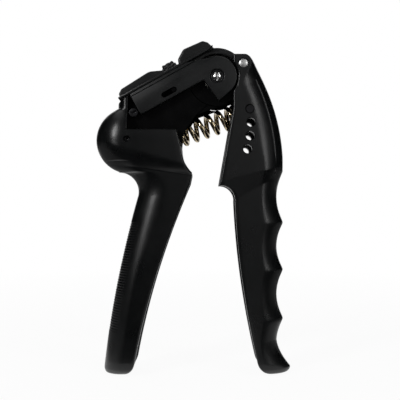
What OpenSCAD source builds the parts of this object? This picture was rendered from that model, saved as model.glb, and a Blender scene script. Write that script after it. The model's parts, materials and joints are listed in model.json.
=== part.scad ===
// Hand grip strengthener: two moulded handles hinged at the top, held apart by a compression spring,
// with a screw-driven slide that sets how wide the grip stands open.
// X runs across the two handles, Y through their thickness and Z up. Both handle tips stand on Z = 0.

/* [Overall] */
// Length of the plain lower handles, from the tips to the neck
handle_length = 84; // [68:1:104]
// Thickness over the cheeks of the slide
body_t = 23; // [22:0.5:28]
// Wall of the mouldings
wall = 3.4; // [2.8:0.1:4]

/* [Main pivot] */
// Diameter of the main pivot pin
pivot_d = 5; // [4:0.1:6]
// Diameter of the cheeks round the pivot
cheek_d = 18.4; // [17:0.2:20]
// Diameter of the pin that holds the knuckle in the finger handle
knuckle_pin_d = 4.4; // [3.6:0.1:5]

/* [Spring] */
// Wire diameter
wire_d = 2.3; // [1.8:0.05:2.4]
// Mean coil diameter
coil_d = 9.2; // [8.4:0.1:9.6]
// Turns of full pitch
turns = 4.25; // [3:0.25:4.25]
// Diameter of the pin that sets the resistance
set_pin_d = 4; // [3.2:0.1:4.6]
// Hole in use, counted from the top
set_hole = 1; // [1:1:4]

/* [Width adjuster] */
// Diameter of the thumbwheel
wheel_d = 12.4; // [10:0.1:15]
// Width of the thumbwheel
wheel_w = 6; // [5:0.1:6.4]
// Diameter of the leadscrew
screw_d = 4.8; // [4:0.1:5.6]
// Travel of the slide
travel = 5; // [3:0.1:5]
// Diameter of the guide pin
guide_d = 2.2; // [1.8:0.1:2.5]

/* [Hidden] */
$fn = 48;
eps = 0.01;

// Main pivot and the line of the slide: u runs up the slide to the pivot, v square to it.
slide_angle = 29;
pivot = [11, handle_length + 55.5];
neck_z = handle_length;

// Half thicknesses through Y, from the cheeks inward.
cheek_out = body_t / 2;
cheek_in = cheek_out - wall;
plate_out = cheek_out - 0.5;
channel = cheek_in - 0.3;
arm_half = channel - 0.1;
knuckle_half = channel - 0.4;
grip_out = plate_out - 1.4;
grip_channel = grip_out - wall + 0.2;
bulb_out = cheek_out + 3;

// Palm handle: bulb, neck and mouth.
bulb = pivot + [-41.8, -29];
bulb_r = 15.7;
neck = [pivot[0] - 46.5, neck_z + 2.2];
neck_r = 9.2;
mouth = pivot + [0.3, -32.5];
mouth_r = 16.9;
palm_stop = pivot + [-11.6, -45.9];
shelf = pivot + [-41.4, -24.6];
palm_outer_top = [pivot[0] - 37.6, neck_z];
palm_outer_tip = [pivot[0] - 53.6, 3];
palm_inner_top = [pivot[0] - 12.4, neck_z + 5.8];
palm_inner_tip = [pivot[0] - 38.5, 5.3];
collar_half = cheek_out - 1.3;
collar_reach = 5;
collar_gap = 0.4;

// Finger handle: back, grooves and stop.
back = pivot + [-63.1, -42.1];
back_r = 95;
ear_top = pivot[1] + 10.5;
groove_pitch = (back[1] - 2.7) / 4;
groove_depth = 3.2;
finger_stop = pivot + [1.3, -49.3];
under_stop = [pivot[0] + 1.5, neck_z - 2];
under_stop_r = 7;
finger_inner_top = [pivot[0] + 8.4, neck_z - 2];
finger_inner_tip = [pivot[0] + 18.3, 9.1];
flare = 6.7;

// Knuckle pin and the arc of set-pin holes.
knuckle_pin_at = pivot + [12.2, 6.3];
hole_arc = pivot + [-31, -21.5];
hole_arc_r = 46.75;
hole_angle = 8;
hole_step = 7.65;
set_holes = 4;

// Spring line from the palm cup's pin to the set pin.
cup_at = pivot + [-28, -30.3];
shoe_at = hole_at(set_hole);
spring_angle = atan2(shoe_at[1] - cup_at[1], shoe_at[0] - cup_at[0]);
pin_span = norm(shoe_at - cup_at);
barrel_r = set_pin_d / 2 + 1.4;
seat_t = 2;
cup_face = barrel_r + seat_t;
shoe_face = barrel_r + seat_t;
seat_gap = 0.2;
seat_room = 3;
spring_length = pin_span - cup_face - shoe_face - seat_gap;
seat_r = min(coil_d / 2 + wire_d / 2 + 0.8, channel - 0.5);
coil_clear = coil_d / 2 * cos(22.5) - wire_d / 2;
coil_half = coil_d / 2 + wire_d / 2;
coil_room = 0.35;
neck_half = seat_r - 2;
neck_step = 0.5;

// Pilots on both seats that centre the ends of the spring.
pilot = 4;
pilot_r = coil_clear - 0.5;

// Slide arm, leadscrew and thumbwheel, in u and v.
arm_top = 6.1;
arm_low = -8.6;
arm_end = -6;
arm_start = -44.5;
screw_v = arm_top + 0.3 + wheel_d / 2;
wheel_u = -16.8;
wheel_gap = wheel_w / 2 + 0.7;
lug_u = -33.1;
lug_w = 4.5;
band_start = -39.5;
band_low = 1.5;
band_top = screw_v - 0.1;
rear_top = band_top - 0.6;
rear_wall = bulb[0] - collar_reach + wall + collar_gap - pivot[0];
rear_start = (rear_wall + rear_top * sin(slide_angle)) / cos(slide_angle);
web_low = arm_top + 0.3;
web_top = screw_v - screw_d / 2 - 0.6;
guide_at = [-20.4, 4.2];
slot_r = guide_d / 2 + 0.2;
stop_screw_at = [-42, 4.2];
cover_top = screw_v + 5.9;
cover_half = cheek_out - 2.5;
cover_wall = 1.6;
arch_in = 11.2;
arch_out = 14.4;
arch_half = channel - 0.3;
arch_from = 50;
knuckle_r = 13.2;

// Set-pin hole k of the finger handle, counted from the top.
function hole_at(k) =
    hole_arc + hole_arc_r * [cos(hole_angle - (k - 1) * hole_step), sin(hole_angle - (k - 1) * hole_step)];

// Straight line from a to b, bowed sideways by sag, at height z.
function bowed(z, a, b, sag) =
    let (t = (z - a[1]) / (b[1] - a[1]))
    a[0] + (b[0] - a[0]) * t + 4 * sag * t * (1 - t);

// Half width of a circle of radius r at height dz from its middle.
function chord(r, dz) = sqrt(max(0, r * r - dz * dz));

// Roundness of a handle tip at height z: 0 at the tip's corner, 1 above it.
function tip(z, r) = z >= r ? 1 : sqrt(1 - pow((r - z) / r, 2));

// Outer edge of the palm handle.
function palm_left(z) =
    z < neck_z ? bowed(max(z, 3), palm_outer_top, palm_outer_tip, -1.8) + 1.6 * (1 - tip(z, 3))
    : z < bulb[1] - chord(bulb_r, 4.4) ? neck[0] + chord(neck_r, z - neck[1])
    : bulb[0] - max(collar_reach, chord(bulb_r, z - bulb[1]));

// Inner edge of the palm handle.
function palm_right(z) =
    z < palm_inner_top[1] ? bowed(z, palm_inner_top, palm_inner_tip, -2.65) - 5.2 * (1 - tip(z, 6))
    : z < palm_stop[1] ? palm_stop[0] - 0.8 * (palm_stop[1] - z) / 3.8
    : z < mouth[1] ? min(palm_stop[0], mouth[0] - chord(mouth_r, z - mouth[1]))
    : mouth[0] - mouth_r - 0.25 * (z - mouth[1]);

// Half thickness of the palm handle.
function palm_half(z) =
    let (
        swell = min(1, max(0, (z - bulb[1] + 24) / 22)),
        round_up = swell * swell * (3 - 2 * swell),
        side = plate_out + (bulb_out - plate_out) * round_up
    )
    z > bulb[1] ? max(collar_half, side * chord(19, z - bulb[1]) / 19) : side * (0.6 + 0.4 * tip(z, 6));

// Depth of the rounded outer side of the palm handle.
function palm_round(z) =
    let (swell = min(1, max(0, (z - bulb[1] + 24) / 22)))
    8.5 + 6.5 * swell;

// Inner edge of the finger handle.
function finger_left(z) =
    z < under_stop[1] ? bowed(z, finger_inner_top, finger_inner_tip, -1.65) + 6.4 * (1 - tip(z, 6))
    : z < under_stop[1] + under_stop_r ? under_stop[0] + chord(under_stop_r, z - under_stop[1])
    : z < finger_stop[1] + 34.8 ? finger_stop[0] + (z - finger_stop[1]) * 0.176
    : finger_stop[0] + 6.1;

// Outer edge of the finger handle: scalloped grip below, a plain arc above.
function finger_right(z) =
    let (
        below = back[1] - z,
        groove = floor(below / groove_pitch),
        t = 2 * (below / groove_pitch - groove) - 1,
        crest = back[0] + back_r,
        low = groove_pitch * 0.7,
        swing = max(0, (low - max(z, 3)) / (low - 3))
    )
    below <= 0 ? back[0] + chord(back_r, below)
    : z < low ? crest - groove_depth + 0.1 + flare * pow(swing, 1.8) - 3.6 * (1 - tip(z, 3))
    : crest - groove_depth * (1 - t * t);

// Half thickness of the finger handle.
function finger_half(z) =
    let (s = min(1, max(0, (z - finger_stop[1] - 2) / 5)))
    (grip_out + (plate_out - grip_out) * s) * (0.6 + 0.4 * tip(z, 5));

// Flat-backed section with one elliptical side, wound anticlockwise seen from above.
function d_ring(z, flat_x, round_x, depth, half, edge) =
    let (s = sign(flat_x - round_x), mid = round_x + s * depth, c = flat_x - s * edge)
    concat(
        [for (a = [-90, -45, 0]) [c + s * edge * cos(a), s * (edge - half + edge * sin(a)), z]],
        [for (a = [0, 45, 90]) [c + s * edge * cos(a), s * (half - edge + edge * sin(a)), z]],
        [for (a = [90:15:270]) [mid + s * depth * cos(a), s * half * sin(a), z]]
    );

function palm_ring(z) =
    let (wide = palm_right(z) - palm_left(z))
    d_ring(z, palm_right(z), palm_left(z), min(palm_round(z), 0.7 * wide), palm_half(z), 1.2);

function finger_ring(z) =
    let (wide = finger_right(z) - finger_left(z))
    d_ring(z, finger_left(z), finger_right(z), min(9.5, 0.6 * wide), finger_half(z), 1);

// Levels at which the two handles are sectioned.
palm_levels = concat(
    [0, 0.5, 1.2, 2.2, 3.4, 5, 7],
    [for (i = [1:8]) 7 + (neck_z - 7) * i / 8],
    [for (d = [2.5, 5, 7, 8.6, 9.6, 10.4, 11.1, 12, 13.2, 15, 17.5, 20.5, 24]) neck_z + d],
    [for (d = [2, 6, 9.5, 12, 13.6, 14.9, 21.5]) bulb[1] + d]
);
finger_levels = concat(
    [0, 0.5, 1.2, 2.2, 3.4, 5, 7, 10],
    [for (i = [1:24]) 10 + (under_stop[1] - 10) * i / 24],
    [for (d = [2, 4, 5.4, 6.4, 6.9, 7.6, 9, 11, 12.8, 14.4]) under_stop[1] + d],
    [for (d = [1:6]) back[1] + d * (ear_top - 1 - back[1]) / 6],
    [ear_top]
);

// Closed solid through a stack of sections.
module loft(rings) {
    n = len(rings[0]);
    m = len(rings);
    polyhedron(
        points = [for (r = rings) each r],
        faces = concat(
            [[for (i = [0:n - 1]) i]],
            [[for (i = [n - 1:-1:0]) (m - 1) * n + i]],
            [for (k = [0:m - 2], i = [0:n - 1]) [k * n + i, k * n + n + i, k * n + n + (i + 1) % n]],
            [for (k = [0:m - 2], i = [0:n - 1]) [k * n + i, k * n + n + (i + 1) % n, k * n + (i + 1) % n]]
        )
    );
}

// Slab of a profile drawn in X and Z, centred on Y = 0.
module slab(half) {
    rotate([90, 0, 0])
        linear_extrude(2 * half, center = true)
            children();
}

// Same slab on both sides only, between two distances from Y = 0.
module cheeks(inner, outer) {
    for (s = [-1, 1])
        translate([0, s * (inner + outer) / 2, 0])
            slab((outer - inner) / 2)
                children();
}

// Round pin along Y at a point of X and Z.
module cross_pin(at, d, half) {
    translate([at[0], 0, at[1]])
        rotate([90, 0, 0])
            cylinder(d = d, h = 2 * half, center = true);
}

// Ring along Y, the same on both sides.
module side_rings(at, bore, d, inner, outer) {
    for (s = [-1, 1])
        translate([at[0], s * (inner + outer) / 2, at[1]])
            rotate([90, 0, 0])
                difference() {
                    cylinder(d = d, h = outer - inner, center = true);
                    cylinder(d = bore, h = outer - inner + 1, center = true);
                }
}

// Places children drawn in u, y and v on the slide's line through the pivot.
module on_slide() {
    translate([pivot[0], 0, pivot[1]])
        rotate([0, -slide_angle, 0])
            children();
}

// Places children drawn along X on the spring's line, from its palm end.
module on_spring() {
    translate([cup_at[0], 0, cup_at[1]])
        rotate([0, -spring_angle, 0])
            children();
}

// Round bar along u at a height v.
module slide_bar(v, d, from, to) {
    translate([from, 0, v])
        rotate([0, 90, 0])
            cylinder(d = d, h = to - from);
}

// Box in u, y and v.
module slide_box(from, to, half, low, high) {
    translate([from, -half, low])
        cube([to - from, 2 * half, high - low]);
}

// Outline of the palm handle, carried far out on its open side.
module palm_open_outline() {
    polygon(concat(
        [for (z = palm_levels) [palm_left(z), z]],
        [[bulb[0] - collar_reach, pivot[1] + 20], [pivot[0] + 40, pivot[1] + 20], [pivot[0] + 40, 0]]
    ));
}

// Outline of the finger handle, carried far out on its open side and top.
module finger_open_outline() {
    polygon(concat(
        [for (z = finger_levels) [finger_right(z), z]],
        [[finger_right(ear_top) - 10, ear_top + 20], [pivot[0] - 40, ear_top + 20], [pivot[0] - 40, 0]]
    ));
}

module palm_hollow() {
    offset(delta = -wall)
        palm_open_outline();
}

module finger_hollow(gap = 0) {
    offset(delta = -wall - gap)
        finger_open_outline();
}

// Stiffening ribs across a handle's channel.
module ribs(low, high, count) {
    for (i = [1:count])
        translate([-100, -30, low + (high - low) * i / (count + 1) - 1.1])
            cube([200, 60, 2.2]);
}

module palm_handle() {
    color("#1f2222")
        difference() {
            loft([for (z = palm_levels) palm_ring(z)]);
            difference() {
                slab(channel)
                    palm_hollow();
                intersection() {
                    ribs(6, neck_z, 3);
                    slab(channel + 1)
                        polygon(concat(
                            [for (z = palm_levels) [palm_right(z) - 3, z]],
                            [[-120, bulb[1] + bulb_r], [-120, 0]]
                        ));
                }
            }
            translate([shelf[0], -40, shelf[1]])
                cube([80, 80, 60]);
            on_slide()
                slide_box(-60, 10, 40, band_top - 0.4, 60);
            cross_pin(bulb + [0.4, -0.2], 2.9, 40);
            cross_pin(cup_at, 3.02, channel + 2.6);
        }
}

// Lower edge of the arm, curving down into the mouth of the palm handle on both sides of the spring.
module arm_throat() {
    polygon(concat(
        [for (a = [0:8:40]) mouth + mouth_r * [-cos(a), sin(a)]],
        [
            pivot + [-9.9, -17.5],
            pivot + [-5.2, -13.1],
            pivot + [-8, -8],
            shelf + [4.4, 3.1],
            shelf + [4.4, -5],
            mouth + [-23, 0]
        ]
    ));
}

// Keel under the arm, down to the room over the spring.
module arm_keel() {
    polygon([pivot + [-13, -21], pivot + [-3, -14.5], pivot + [-3, -12], pivot + [-9, -10]]);
}

// Curtain over the spring, drawn on the spring's line from the throat to the knuckle.
module arm_curtain() {
    low = coil_half + coil_room;
    end = pin_span - 10;
    polygon([[14, low], [end, low], [end, low + 3], [20, low + 4]]);
}

module slide_arm() {
    color("#232626")
        difference() {
            union() {
                on_slide()
                    slide_box(arm_start, arm_end, arm_half, arm_low, arm_top);
                on_slide()
                    slide_box(rear_start, lug_u - lug_w / 2 - 2.2, arm_half, 0, rear_top);
                on_slide()
                    slide_box(lug_u - lug_w / 2, lug_u + lug_w / 2, 4.6, 0, screw_v + screw_d / 2 + 0.4);
                slab(arm_half)
                    intersection() {
                        offset(delta = -wall - 0.1)
                            palm_open_outline();
                        polygon([
                            shelf + [-20, -13],
                            shelf + [6.6, -13],
                            shelf + [6.6, 4],
                            shelf + [0, 9],
                            shelf + [-20, 9]
                        ]);
                    }
                slab(arm_half)
                    arm_throat();
                slab(arm_half - 1.5)
                    arm_keel();
                on_spring()
                    cheeks(coil_half + 0.75, knuckle_half)
                        arm_curtain();
            }
            on_slide()
                slide_bar(screw_v, screw_d + 0.04, lug_u - lug_w, lug_u + lug_w);
            on_slide()
                cross_pin([lug_u, screw_v], 1.62, 10);
            on_slide()
                cross_pin(guide_at, guide_d + 0.02, 20);
            on_slide()
                cross_pin(stop_screw_at, 2.42, 20);
            cross_pin(bulb + [0.4, -0.2], 2.82, 20);
            cross_pin(pivot, 2 * knuckle_r + 0.7, 20);
            cross_pin(cup_at, 2 * barrel_r + 1.6, 20);
            on_spring()
                translate([-8, -seat_r - 0.35, -seat_r - 0.8])
                    cube([cup_face + 9, 2 * seat_r + 0.7, 2 * seat_r + 1.6]);
            on_spring()
                translate([-8, -coil_half - 0.75, -coil_half - 1.3])
                    cube([60, 2 * coil_half + 1.5, 2 * coil_half + 2.6]);
        }
}

module arm_grub_screws() {
    color("#3a3a3a")
        for (s = [-1, 1])
            translate([bulb[0] + 0.4, s * (channel + 0.9), bulb[1] - 0.2])
                rotate([90, 0, 0])
                    difference() {
                        cylinder(d = 2.8, h = 8, center = true);
                        translate([0, 0, -s * 4])
                            cylinder(d = 1.4, h = 3, center = true, $fn = 6);
                    }
}

module stop_screws() {
    color("#4a4a4a")
        on_slide()
            for (s = [-1, 1])
                translate([stop_screw_at[0], 0, stop_screw_at[1]])
                    rotate([90, 0, 0])
                        difference() {
                            union() {
                                translate([0, 0, s * (arm_half + 1.2)])
                                    cylinder(d = 4.2, h = 2.4, center = true);
                                translate([0, 0, s * (arm_half - 1.5)])
                                    cylinder(d = 2.4, h = 3.02, center = true);
                            }
                            translate([0, 0, s * (arm_half + 2.2)])
                                cube([3, 0.7, 0.9], center = true);
                        }
}

module guide_pin() {
    color("#55585a")
        on_slide()
            cross_pin(guide_at, guide_d, cheek_out - 0.4);
}

module leadscrew() {
    color("#9aa0a3")
        on_slide()
            difference() {
                union() {
                    slide_bar(screw_v, screw_d, lug_u - lug_w / 2, 1.5);
                    slide_bar(screw_v, screw_d + 0.8, lug_u - lug_w / 2 - 1.6, lug_u - lug_w / 2);
                }
                cross_pin([lug_u, screw_v], 1.62, 10);
            }
}

module screw_cross_pin() {
    color("#8d9194")
        on_slide()
            cross_pin([lug_u, screw_v], 1.6, 4.5);
}

// Side profile of the slide's cheeks: the long band, the round cheek and the guide slot.
module cheek_profile() {
    difference() {
        union() {
            polygon([
                [band_start, band_low],
                [band_start, band_top],
                [-9, band_top],
                [2, cheek_d / 2 - 0.4],
                [0, band_low]
            ]);
            difference() {
                circle(d = cheek_d);
                translate([-26, band_low - 20])
                    square([20, 20]);
            }
        }
        hull() {
            translate(guide_at)
                circle(r = slot_r);
            translate(guide_at - [travel + 0.2, 0])
                circle(r = slot_r);
        }
        circle(d = pivot_d + 0.02);
    }
}

module slide_body() {
    color("#202424")
        difference() {
            union() {
                on_slide()
                    cheeks(cheek_in, cheek_out)
                        cheek_profile();
                on_slide()
                    slide_box(lug_u + lug_w / 2 + 0.5, wheel_u - wheel_gap, cheek_in + eps, web_low, web_top);
                on_slide()
                    slide_box(wheel_u + wheel_gap, -9.3, cheek_in + eps, web_low, web_top);
                translate([pivot[0], 0, pivot[1]])
                    rotate([90, 0, 0])
                        rotate([0, 0, arch_from])
                            translate([0, 0, -arch_half])
                                rotate_extrude(angle = 102)
                                    translate([arch_in, 0])
                                        square([arch_out - arch_in, 2 * arch_half]);
                on_slide()
                    slide_box(-9.3, -4.5, cheek_in + eps, band_top - 2.4, band_top);
            }
            for (s = [-1, 1])
                translate([pivot[0], s * (cheek_out + 0.5), pivot[1]])
                    rotate([90, 0, 0])
                        cylinder(d = pivot_d + 1.6, h = 4, center = true);
            on_slide()
                slide_bar(screw_v, screw_d + 0.8, -30, 8);
        }
}

// Side profile of the cover over the leadscrew, with a gap for the thumbwheel.
module cover_profile() {
    polygon([
        [-45.4, band_top + 1.1],
        [-44.6, cover_top - 2.4],
        [-42.6, cover_top - 1],
        [-26.6, cover_top],
        [wheel_u - wheel_gap, cover_top - 2.8],
        [wheel_u - wheel_gap, band_top + 1.1]
    ]);
    polygon([
        [wheel_u + wheel_gap, band_top + 1.1],
        [wheel_u + wheel_gap + 1.8, cover_top - 1.8],
        [-8.4, cover_top + 0.5],
        [2.4, cover_top + 0.6],
        [5.3, cover_top - 2.2],
        [6.6, band_top + 1.1]
    ]);
}

module adjuster_cover() {
    color("#1c2020")
        on_slide()
            difference() {
                union() {
                    slab(cover_half)
                        cover_profile();
                    cheeks(cover_half - cover_wall, cheek_out - 0.5)
                        polygon([
                            [-45.4, band_top + eps],
                            [-45.4, band_top + 1.2],
                            [6.6, band_top + 1.2],
                            [3, band_top + eps]
                        ]);
                }
                slab(cover_half - cover_wall)
                    offset(delta = -cover_wall)
                        union() {
                            cover_profile();
                            translate([-45.4, band_top - 20])
                                square([wheel_u - wheel_gap + 45.4, 21.2]);
                            translate([wheel_u + wheel_gap, band_top - 20])
                                square([6.4 - wheel_u - wheel_gap, 21.2]);
                        }
                slide_bar(screw_v, screw_d + 0.8, -43, 2.5);
                slide_box(-24, -8, screw_d / 2 + 0.4, band_top - 5, screw_v);
                rotate([90, 0, 0])
                    cylinder(r = arch_out + 0.3, h = 2 * arch_half + 0.6, center = true);
            }
}

module thumbwheel() {
    color("#17191a")
        on_slide()
            translate([wheel_u - wheel_w / 2, 0, screw_v])
                rotate([0, 90, 0])
                    linear_extrude(wheel_w)
                        difference() {
                            circle(d = wheel_d);
                            circle(d = screw_d + 0.1);
                            for (i = [0:19])
                                rotate(i * 18)
                                    translate([wheel_d / 2 + 0.25, 0])
                                        circle(d = 1.4, $fn = 16);
                        }
}

module wheel_washers() {
    color("#3c3f41")
        on_slide()
            for (s = [-1, 1])
                translate([wheel_u + s * (wheel_w / 2 + 0.38), 0, screw_v])
                    rotate([0, 90, 0])
                        difference() {
                            cylinder(d = wheel_d - 3, h = 0.5, center = true);
                            cylinder(d = screw_d + 0.4, h = 2, center = true);
                        }
}

module pivot_pin() {
    color("#d3d6d8")
        cross_pin(pivot, pivot_d, cheek_out - 0.3);
}

module pivot_retainers() {
    color("#2b2d2e")
        side_rings(pivot, pivot_d + 0.02, pivot_d + 1.5, cheek_out - 1.5, cheek_out - 0.8);
}

module pivot_bush() {
    color("#a98850")
        translate([pivot[0], 0, pivot[1]])
            rotate([90, 0, 0])
                difference() {
                    cylinder(d = pivot_d + 2, h = 2 * knuckle_half, center = true);
                    cylinder(d = pivot_d + 0.1, h = 2 * knuckle_half + 1, center = true);
                }
}

module knuckle_washers() {
    color("#c9c2ae")
        side_rings(pivot, pivot_d + 0.1, pivot_d + 7, knuckle_half + 0.05, cheek_in - 0.05);
}

module knuckle() {
    color("#262929")
        difference() {
            slab(knuckle_half)
                difference() {
                    intersection() {
                        finger_hollow(0.15);
                        union() {
                            hull() {
                                translate(pivot)
                                    circle(r = 8.6);
                                translate(knuckle_pin_at)
                                    circle(r = 3.9);
                                translate(pivot + [16, -3])
                                    circle(r = 4);
                            }
                            intersection() {
                                translate(pivot)
                                    circle(r = knuckle_r);
                                translate(pivot)
                                    polygon([[0, 0], [-30, -11], [-30, -40], [40, -40], [40, -7]]);
                            }
                        }
                    }
                    translate(pivot)
                        polygon([
                            [10.9 * cos(arch_from - 1.5), 10.9 * sin(arch_from - 1.5)],
                            [30 * cos(arch_from - 1.5), 30 * sin(arch_from - 1.5)],
                            [-10, 30],
                            [-2, 10.9],
                            [10.9 * cos(75), 10.9 * sin(75)]
                        ]);
                }
            cross_pin(pivot, pivot_d + 2.02, 30);
            cross_pin(knuckle_pin_at, knuckle_pin_d + 0.02, 30);
            on_spring()
                translate([0, -20, -20])
                    cube([pin_span, 40, 20 + coil_half + coil_room]);
            on_spring()
                translate([pin_span - shoe_face - seat_room, -20, -20])
                    cube([shoe_face + seat_room, 40, 20 + seat_r + 0.4]);
        }
}

module finger_handle() {
    color("#1e2121")
        difference() {
            loft([for (z = finger_levels) finger_ring(z)]);
            difference() {
                union() {
                    intersection() {
                        slab(channel)
                            finger_hollow();
                        translate([-100, -50, finger_stop[1] + 4])
                            cube([200, 100, 200]);
                    }
                    slab(grip_channel)
                        finger_hollow();
                }
                intersection() {
                    ribs(6, neck_z, 3);
                    slab(channel + 1)
                        polygon(concat(
                            [for (z = finger_levels) if (z < neck_z) [finger_left(z) + 3, z]],
                            [[120, neck_z], [120, 0]]
                        ));
                }
            }
            cross_pin(pivot, cheek_d + 1.4, 40);
            cross_pin(knuckle_pin_at, knuckle_pin_d + 0.02, 40);
            for (k = [1:set_holes])
                cross_pin(hole_at(k), set_pin_d + 0.04, 40);
        }
}

module knuckle_pin() {
    color("#d9dcde")
        cross_pin(knuckle_pin_at, knuckle_pin_d, plate_out + 0.2);
}

module set_pin() {
    color("#303335")
        cross_pin(shoe_at, set_pin_d, plate_out - 0.3);
}

// Spring seat drawn from its pin outward along X, with its pilot.
module spring_seat(face, bore) {
    difference() {
        union() {
            rotate([90, 0, 0])
                cylinder(r = barrel_r, h = 2 * (channel - 0.4), center = true);
            translate([0, -neck_half, -barrel_r + neck_step])
                cube([face - seat_t / 2, 2 * neck_half, 2 * (barrel_r - neck_step)]);
            translate([face - seat_t - neck_step, 0, 0])
                rotate([0, 90, 0])
                    cylinder(r = seat_r, h = seat_t + neck_step);
            translate([face - eps, 0, 0])
                rotate([0, 90, 0])
                    cylinder(r = pilot_r, h = pilot);
        }
        rotate([90, 0, 0])
            cylinder(d = bore, h = 60, center = true);
    }
}

module palm_spring_cup() {
    color("#2a2d2d")
        on_spring()
            spring_seat(cup_face, 3.1);
}

module palm_cup_pin() {
    color("#c4c8ca")
        cross_pin(cup_at, 3, channel + 2.5);
}

module finger_spring_shoe() {
    color("#2a2d2d")
        on_spring()
            translate([pin_span, 0, 0])
                rotate([0, 180, 0])
                    spring_seat(shoe_face, set_pin_d + 0.1);
}

// Spring wire, wound on a cylinder: each node is [angle, height, slope].
coil_r = coil_d / 2;
end_turns = 0.75;
end_pitch = wire_d + 0.8;
bend_r = 0.7 * wire_d;
end_slope = atan2(end_pitch, 2 * PI * coil_r);
lead_in = wire_d + bend_r * cos(end_slope);
all_turns = turns + 2 * end_turns;
wound = spring_length - 2 * lead_in;
pitch = (wound - 2 * end_turns * end_pitch) / turns;
full_slope = atan2(pitch, 2 * PI * coil_r);
bend_angle = bend_r * (1 - sin(end_slope)) / coil_r * 180 / PI;

function wound_height(t) =
    lead_in + min(t, end_turns) * end_pitch
    + max(0, min(t, all_turns - end_turns) - end_turns) * pitch
    + max(0, t - all_turns + end_turns) * end_pitch;

function wound_slope(t) = t < end_turns || t > all_turns - end_turns ? end_slope : full_slope;

lead_nodes = concat(
    [[-bend_angle, 0, 90], [-bend_angle, wire_d, 90]],
    [
        for (b = [30, 60])
            [-bend_angle + bend_r * (1 - cos(b)) / coil_r * 180 / PI, wire_d + bend_r * sin(b), 90 - b]
    ]
);
wire_nodes = concat(
    lead_nodes,
    [for (i = [0:all_turns * 8]) [i * 45, wound_height(i / 8), wound_slope(i / 8)]],
    [
        for (i = [len(lead_nodes) - 1:-1:0])
            [all_turns * 360 - lead_nodes[i][0], spring_length - lead_nodes[i][1], lead_nodes[i][2]]
    ]
);

// Middle of the wire at a node, along X as the spring's line.
function wire_at(n) = [n[1], coil_r * cos(n[0]), coil_r * sin(n[0])];

// Ring of six points round the wire at a node.
function wire_ring(n) =
    let (
        out = [0, cos(n[0]), sin(n[0])],
        round = [0, -sin(n[0]), cos(n[0])],
        side = [-cos(n[2]), 0, 0] + sin(n[2]) * round
    )
    [for (a = [0:60:300]) wire_at(n) + wire_d / 2 * (cos(a) * out + sin(a) * side)];

// Least gap of the wire to itself, between points more than half a turn apart.
wire_gap = min([
    for (i = [0:len(wire_nodes) - 1])
        for (j = [i + 5:1:len(wire_nodes) - 1])
            norm(wire_at(wire_nodes[i]) - wire_at(wire_nodes[j])) - wire_d
]);
echo(wire_gap = wire_gap, pitch = pitch, spring_length = spring_length);

module compression_spring() {
    color("#b9b4a8")
        on_spring()
            translate([cup_face + seat_gap, 0, 0])
                loft([for (n = wire_nodes) wire_ring(n)]);
}

palm_handle();
slide_arm();
arm_grub_screws();
stop_screws();
guide_pin();
leadscrew();
screw_cross_pin();
slide_body();
adjuster_cover();
thumbwheel();
wheel_washers();
pivot_pin();
pivot_retainers();
pivot_bush();
knuckle_washers();
knuckle();
knuckle_pin();
finger_handle();
set_pin();
palm_spring_cup();
palm_cup_pin();
finger_spring_shoe();
compression_spring();
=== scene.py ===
"""Models and finishes the pieces of a hand grip strengthener on its construction frame, and its studio."""

import json
import math

import bmesh
import bpy
from bpy.props import FloatProperty, FloatVectorProperty, IntProperty, PointerProperty
from mathutils import Matrix, Vector


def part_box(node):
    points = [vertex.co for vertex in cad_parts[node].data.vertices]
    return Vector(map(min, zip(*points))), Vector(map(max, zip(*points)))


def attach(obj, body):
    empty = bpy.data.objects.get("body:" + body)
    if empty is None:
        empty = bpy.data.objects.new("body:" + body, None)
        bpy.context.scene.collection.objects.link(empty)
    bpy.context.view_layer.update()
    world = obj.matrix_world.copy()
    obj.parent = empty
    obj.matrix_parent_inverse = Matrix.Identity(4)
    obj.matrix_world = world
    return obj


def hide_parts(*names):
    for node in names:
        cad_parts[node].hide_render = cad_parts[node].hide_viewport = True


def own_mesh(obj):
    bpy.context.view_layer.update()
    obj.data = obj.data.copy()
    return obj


bl_info = {
    "name": "Hand grip strengthener",
    "version": (1, 0, 0),
    "blender": (4, 5, 0),
    "location": "3D View > Sidebar > Grip",
    "description": "Models and finishes the pieces of a hand grip strengthener and its studio",
    "category": "Object",
}

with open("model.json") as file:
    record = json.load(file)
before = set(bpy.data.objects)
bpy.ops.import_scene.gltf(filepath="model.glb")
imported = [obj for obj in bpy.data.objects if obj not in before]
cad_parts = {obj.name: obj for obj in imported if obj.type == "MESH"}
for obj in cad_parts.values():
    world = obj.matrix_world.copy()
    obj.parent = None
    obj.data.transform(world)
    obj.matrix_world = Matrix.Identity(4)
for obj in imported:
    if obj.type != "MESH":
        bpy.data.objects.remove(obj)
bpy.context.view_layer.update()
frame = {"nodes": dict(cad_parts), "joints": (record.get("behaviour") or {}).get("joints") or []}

# Shapes are worked out in millimetres and scaled to metres when a piece is made.
MM = 0.001
MERGE = 0.0005
CORNER_STEPS = 5
LATHE_STEPS = 48
JOINTS = {joint["name"]: joint for joint in frame["joints"]}


def joint_point(name):
    """A joint's place in millimetres."""
    return Vector(JOINTS[name]["pos_m"]) / MM


def half_thickness(node):
    """How far a construction node reaches from the middle plane, in millimetres."""
    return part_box(node)[1].y / MM


def line_frame(origin, axis):
    """Matrix whose X runs along a line in the middle plane and whose Y stays the object's own."""
    across = Vector((0, 1, 0))
    up = axis.cross(across)
    turn = Matrix((axis, across, up)).transposed().to_4x4()
    return Matrix.Translation(origin) @ turn


PIVOT = joint_point("grip_hinge")
CUP_PIN = joint_point("cup_pivot")
SET_PIN = joint_point("shoe_pivot")
SLIDE_AXIS = Vector(JOINTS["width_slide"]["axis"]).normalized()
SPRING_AXIS = (SET_PIN - CUP_PIN).normalized()
SLIDE = line_frame(PIVOT, SLIDE_AXIS)
SPRING = line_frame(CUP_PIN, SPRING_AXIS)

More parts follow.
